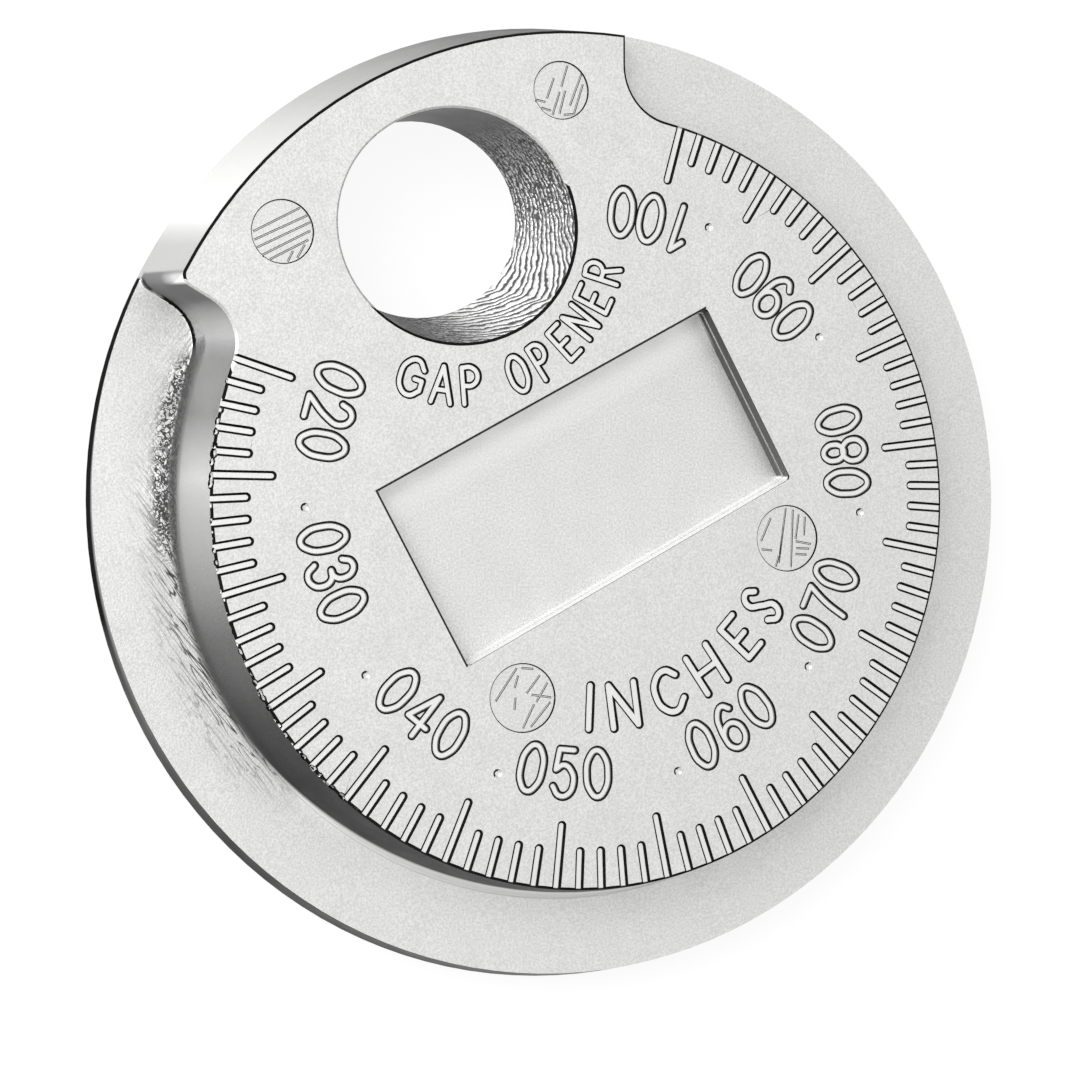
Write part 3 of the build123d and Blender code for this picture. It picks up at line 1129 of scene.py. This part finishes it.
# The painted shade lines and the painted shade at the rim's foot are not metallic.
clean = maths(tree, "SUBTRACT", 1.0, maths(tree, "MAXIMUM", painted_edge_shade, foot_shade))
clean = maths(tree, "SUBTRACT", clean, mouth_shade_line)
metal = ramped(tree, die_skin, (0, 1), (0.9, 0.4))
tree.links.new(product(tree, clean, metal), shader.inputs["Metallic"])
tree.links.new(product(tree, clean, 0.25), shader.inputs["Specular IOR Level"])
grain_depth, crack_depth, ripple_depth = 0.008 * mm, 0.042 * mm, 0.1 * mm
surface = bumped(tree, grain, grain_depth)
surface = bumped(tree, crazing, crack_depth, surface)
surface = bumped(tree, ripples, ripple_depth, surface)
tree.links.new(surface, shader.inputs["Normal"])
gauge.data.materials.clear()
gauge.data.materials.append(zinc)
print("material:", zinc.name, "nodes:", len(tree.nodes))

# %% The gauge stands for the plain CAD disc
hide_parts("gauge_disc")
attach(gauge, "root")

# %% [markdown]
# ## Floor, light and camera
# The gauge lies on a white table under a large soft light at the left, with a paler sky over
# it. A wide light keeps the satin metal even; one from the side gives each wall its own tone.
# The table is clear from below, so that the back of the gauge can be looked at too.

# %% The white table
floor_half = 0.4
white_share = 0.9
shape = bmesh.new()
bmesh.ops.create_grid(shape, x_segments=1, y_segments=1, size=floor_half)
floor_mesh = bpy.data.meshes.new("table")
shape.to_mesh(floor_mesh)
shape.free()
floor = linked("table", floor_mesh)
floor.location.z = low.z - 0.02 * mm
table_white, floor_tree, floor_shader = new_material("table_white")
floor_shader.inputs["Base Color"].default_value = grey(0.93)
floor_shader.inputs["Roughness"].default_value = 0.9
glow = add(floor_tree, "Emission", [(1, 1, 1, 1), 1.0])
path = add(floor_tree, "LightPath").outputs
seen = maths(floor_tree, "ADD", path["Is Camera Ray"], path["Is Glossy Ray"])
seen = maths(floor_tree, "ADD", seen, path["Is Transmission Ray"])
share = maths(floor_tree, "MULTIPLY", seen, white_share)
both = add(floor_tree, "MixShader", [share, floor_shader.outputs[0], glow.outputs[0]])
clear = add(floor_tree, "BsdfTransparent")
under = add(floor_tree, "NewGeometry").outputs["Backfacing"]
one_sided = add(floor_tree, "MixShader", [under, both.outputs[0], clear.outputs[0]])
floor_tree.links.new(one_sided.outputs[0], floor_tree.nodes["Material Output"].inputs[0])
floor_mesh.materials.append(table_white)
floor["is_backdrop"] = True
print("table width in m:", 2 * floor_half)


# %% Soft light
def soft_box(name, spot, aim, width, watts):
    """A square area lamp that looks at a point."""
    lamp = bpy.data.lights.new(name, "AREA")
    lamp.size = width
    lamp.energy = watts
    made = linked(name, lamp)
    made.location = spot
    made.rotation_mode = "QUATERNION"
    made.rotation_quaternion = (Vector(aim) - Vector(spot)).to_track_quat("-Z", "Y")


lamp_spot, lamp_width, lamp_watts = (-0.19, 0.11, 0.2), 0.2, 0.95
soft_box("key_light", lamp_spot, (0, 0, 0), lamp_width, lamp_watts)
print("lamp's distance in m:", round(Vector(lamp_spot).length, 2))
world = bpy.data.worlds.new("studio")
world.use_nodes = True
sky = world.node_tree
sky.nodes.clear()
sky_direction = add(sky, "SeparateXYZ", [add(sky, "TexCoord").outputs["Generated"]])
sky_height = ramped(sky, sky_direction.outputs["Z"], (0.1, 0.75), (0.0, 1.0))
sky_colour = blended(sky, sky_height, grey(0.36), grey(0.93))
sky_light = add(sky, "Background", [sky_colour, 1.0])
sky_out = sky.nodes.new("ShaderNodeOutputWorld")
sky.links.new(sky_light.outputs[0], sky_out.inputs[0])
bpy.context.scene.world = world

# %% The camera looks down, a little from the left
camera_spot = Vector((-36.342, -2.239, 98.586)) * mm
right = (0.93981, -0.00312, 0.3417)
up = (0, 0.99996, 0.0091)
back = (-0.34171, -0.00858, 0.93977)
lens = bpy.data.cameras.new("camera")
lens.lens, lens.sensor_width = 100, 36
lens.clip_start, lens.clip_end = 0.001, 10
camera = linked("camera", lens)
facing_down = Matrix((right, up, back)).transposed().to_4x4()
camera.matrix_world = Matrix.Translation(camera_spot) @ facing_down
bpy.context.scene.camera = camera
bpy.context.scene.view_settings.view_transform = "Standard"
print("camera's distance in mm:", round(camera_spot.length / mm, 1))

# %% Keep both boxes, and print them
boxes = {"cad": [list(c) for c in cad_box], "visual": [list(c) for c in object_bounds()]}
for name, box in boxes.items():
    print(name, "box in mm:", [[round(x / mm, 2) for x in corner] for corner in box])
